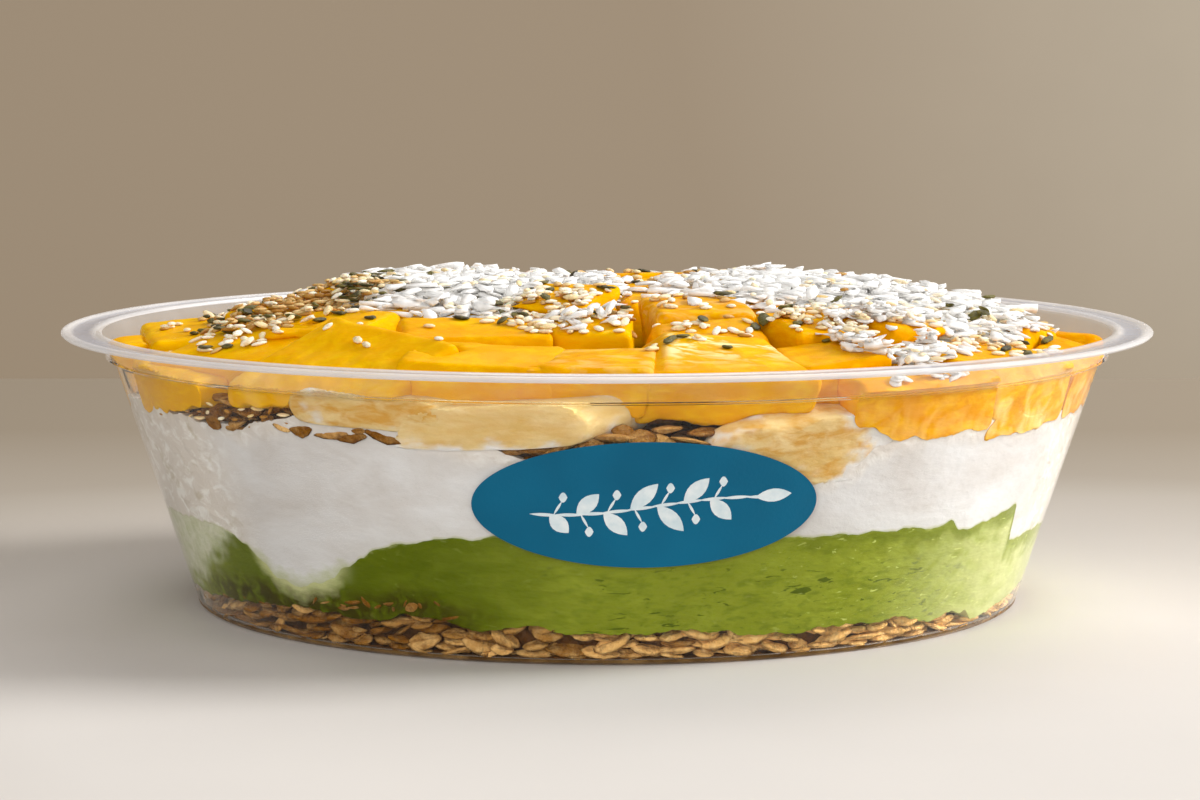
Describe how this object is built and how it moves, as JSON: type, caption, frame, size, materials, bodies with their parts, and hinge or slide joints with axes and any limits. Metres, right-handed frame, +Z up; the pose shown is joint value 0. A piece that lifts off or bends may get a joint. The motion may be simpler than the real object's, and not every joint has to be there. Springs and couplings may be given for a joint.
{
  "type": "smoothie bowl",
  "caption": "Shallow clear take-away bowl with layers of granola, green smoothie and white yogurt, heaped with mango chunks, banana slices and shredded coconut.",
  "frame": {"origin": "centre of the face that the bowl rests on", "axes": "+Z up, -Y towards the side that carries the sticker, +X to the right as that side is seen"},
  "size_m": [0.185, 0.185, 0.0558],
  "materials": {
    "clear_plastic": "clear thin plastic, slightly hazy, milky at the rolled rim",
    "sticker": "teal-blue coated paper sticker with a plain pale leaf sprig, low gloss",
    "granola": null,
    "green_smoothie": null,
    "white_yogurt": null,
    "banana": null,
    "mango": null,
    "coconut": null,
    "seeds": null
  },
  "bodies": {
    "root": {"bowl": "clear_plastic", "label": "sticker", "granola_base": "granola", "green_layer": "green_smoothie", "white_layer": "white_yogurt", "granola_top": "granola", "banana_1": "banana", "banana_2": "banana", "banana_3": "banana", "banana_4": "banana", "banana_5": "banana", "coconut_left": "coconut", "coconut_right": "coconut", "mango_01": "mango", "mango_02": "mango", "mango_03": "mango", "mango_04": "mango", "mango_05": "mango", "mango_06": "mango", "mango_07": "mango", "mango_08": "mango", "mango_09": "mango", "mango_10": "mango", "mango_11": "mango", "mango_12": "mango", "mango_13": "mango", "mango_14": "mango", "mango_15": "mango", "mango_16": "mango", "mango_17": "mango", "mango_18": "mango", "mango_19": "mango", "mango_20": "mango", "mango_21": "mango", "mango_22": "mango", "mango_23": "mango", "mango_24": "mango", "mango_25": "mango", "mango_26": "mango", "mango_27": "mango", "mango_28": "mango", "mango_29": "mango", "mango_30": "mango", "mango_31": "mango", "mango_32": "mango", "mango_33": "mango", "mango_34": "mango", "mango_35": "mango", "mango_36": "mango", "mango_37": "mango", "mango_38": "mango", "mango_39": "mango", "mango_40": "mango", "mango_41": "mango", "mango_42": "mango", "mango_43": "mango", "mango_44": "mango", "mango_45": "mango", "mango_46": "mango", "mango_47": "mango"}
  },
  "joints": []
}
